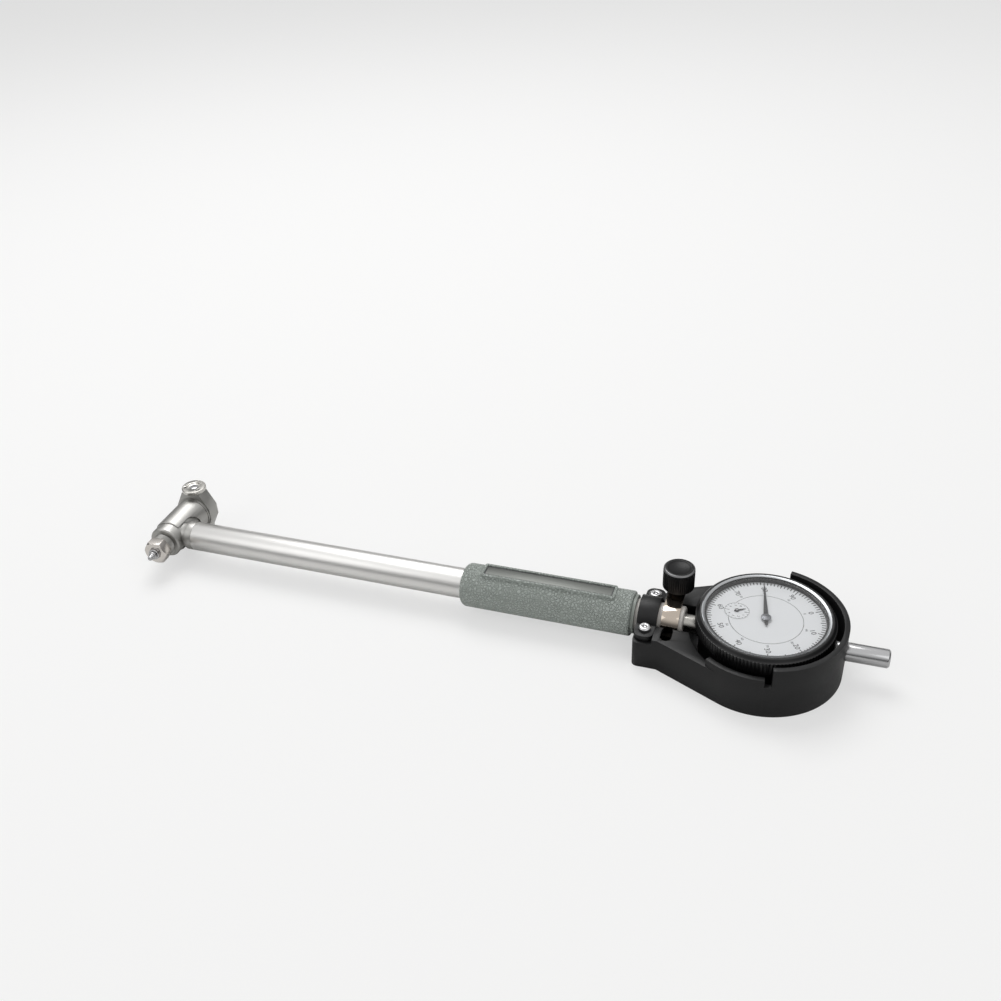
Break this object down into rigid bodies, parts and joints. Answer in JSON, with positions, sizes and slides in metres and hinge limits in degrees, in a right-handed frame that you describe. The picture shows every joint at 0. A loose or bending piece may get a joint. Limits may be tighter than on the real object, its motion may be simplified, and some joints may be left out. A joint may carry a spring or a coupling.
{
  "type": "dial bore gauge",
  "caption": "Dial bore gauge: tube stem with insulating grip, right-angle head with fixed anvil, sprung contact and wheeled centring bridge, and a guarded dial indicator.",
  "frame": {"origin": "guard's flat back face, under the centre of the dial", "axes": "+X along the stem from the measuring head to the dial, +Y towards the movable contact, +Z out of the dial's face"},
  "size_m": [0.3482, 0.0676, 0.0331],
  "materials": {
    "satin_silver": "satin",
    "steel": "polished",
    "spring_steel": "satin",
    "polished_nickel": "polished",
    "brass": "satin",
    "grey_grip": "grained",
    "label_plate": "satin",
    "white_plastic": "satin",
    "black_knob": "satin",
    "black_case": "satin",
    "black_guard": "satin",
    "black_hand": "matt",
    "white_face": "matt",
    "clear_window": "polished"
  },
  "bodies": {
    "stem_body": {"tube": "satin_silver", "rod_guide_front": "brass", "rod_guide_middle": "brass", "rod_guide_rear": "brass", "rod_spring": "spring_steel", "grip": "grey_grip", "label_strip": "label_plate", "grip_end_ring": "satin_silver", "insulating_collar": "white_plastic", "clamp_band": "polished_nickel", "clamp_nut": "polished_nickel", "head_body": "satin_silver", "anvil": "steel", "anvil_lock_nut": "polished_nickel", "contact_bush": "steel", "crank_pin": "steel", "bridge_spring": "spring_steel", "dial_case": "black_case", "case_back": "black_case", "case_back_screws": "steel", "stem_bushing": "steel", "spindle_cap": "steel", "spindle_spring": "spring_steel", "movement_plate": "brass", "train_bridge": "brass", "hairspring": "spring_steel", "inner_dial": "white_face", "guard_plate": "black_guard", "guard_strap": "black_guard", "guard_screws": "steel"},
    "movable_contact_body": {"movable_contact": "steel", "contact_tip": "steel"},
    "crank_body": {"bell_crank": "steel"},
    "rod_body": {"push_rod": "steel", "rod_collar": "steel"},
    "bridge_body": {"centring_bridge": "satin_silver", "bridge_stop_screw": "steel", "wheel_screws": "steel"},
    "lower_wheel_body": {"lower_wheel": "satin_silver"},
    "upper_wheel_body": {"upper_wheel": "satin_silver"},
    "knob_body": {"clamp_knob": "black_knob", "clamp_screw": "steel"},
    "spindle_body": {"spindle": "steel", "contact_point": "steel"},
    "rack_arbor_body": {"rack_pinion": "steel", "rack_gear": "brass", "small_hand": "black_hand"},
    "hand_body": {"centre_pinion": "steel", "main_hand": "black_hand", "hand_hub": "black_hand"},
    "take_up_body": {"take_up_gear": "brass"},
    "bezel_body": {"bezel": "black_case", "bezel_ring": "satin_silver", "crystal": "clear_window", "scale_ring": "white_face"}
  },
  "joints": [
    {"name": "hand_spin", "type": "hinge", "parent": "stem_body", "child": "hand_body", "pos_m": [0, 0, 0.0134], "axis": [0, 0, -1], "range_deg": [0, 648]},
    {"name": "contact_slide", "type": "slide", "parent": "stem_body", "child": "movable_contact_body", "axis": [0, -1, 0], "range_m": [0, 0.0018]},
    {"name": "crank_pivot", "type": "hinge", "parent": "stem_body", "child": "crank_body", "pos_m": [-0.284, 0.004, 0.0134], "axis": [0, 0, 1], "range_deg": [0, 25.78]},
    {"name": "rod_slide", "type": "slide", "parent": "stem_body", "child": "rod_body", "axis": [1, 0, 0], "range_m": [0, 0.0018], "stiffness_N_per_m": 100, "springref_m": -0.003, "deforming": ["rod_spring"]},
    {"name": "spindle_slide", "type": "slide", "parent": "stem_body", "child": "spindle_body", "axis": [1, 0, 0], "range_m": [0, 0.0018], "deforming": ["spindle_spring"]},
    {"name": "rack_arbor_spin", "type": "hinge", "parent": "stem_body", "child": "rack_arbor_body", "pos_m": [-0.01232, 0.0021, 0.0134], "axis": [0, 0, 1], "range_deg": [0, 64.8]},
    {"name": "take_up_spin", "type": "hinge", "parent": "stem_body", "child": "take_up_body", "pos_m": [0.00803, -0.00958, 0.0134], "axis": [0, 0, 1], "range_deg": [0, 64.8]},
    {"name": "bridge_slide", "type": "slide", "parent": "stem_body", "child": "bridge_body", "axis": [0, -1, 0], "range_m": [0, 0.004], "stiffness_N_per_m": 150, "springref_m": -0.008, "deforming": ["bridge_spring"]},
    {"name": "lower_wheel_spin", "type": "hinge", "parent": "bridge_body", "child": "lower_wheel_body", "pos_m": [-0.288, 0.0217, 0.0134], "axis": [0, 0, 1], "continuous": true},
    {"name": "upper_wheel_spin", "type": "hinge", "parent": "bridge_body", "child": "upper_wheel_body", "pos_m": [-0.288, 0.0217, 0.0134], "axis": [0, 0, 1], "continuous": true},
    {"name": "clamp_knob_turn", "type": "hinge", "parent": "stem_body", "child": "knob_body", "pos_m": [-0.0391, 0.0124, 0.0134], "axis": [0, 0, 1], "range_deg": [0, 720]},
    {"name": "bezel_turn", "type": "hinge", "parent": "stem_body", "child": "bezel_body", "pos_m": [0, 0, 0.0134], "axis": [0, 0, 1], "continuous": true}
  ],
  "couplings": [
    {"joint": "contact_slide", "follows": "rod_slide", "ratio": 1},
    {"joint": "crank_pivot", "follows": "rod_slide", "rad_per_m": 250},
    {"joint": "spindle_slide", "follows": "rod_slide", "ratio": 1},
    {"joint": "rack_arbor_spin", "follows": "rod_slide", "rad_per_m": 628.32},
    {"joint": "hand_spin", "follows": "rod_slide", "rad_per_m": 6283.2},
    {"joint": "take_up_spin", "follows": "rod_slide", "rad_per_m": 628.32}
  ]
}
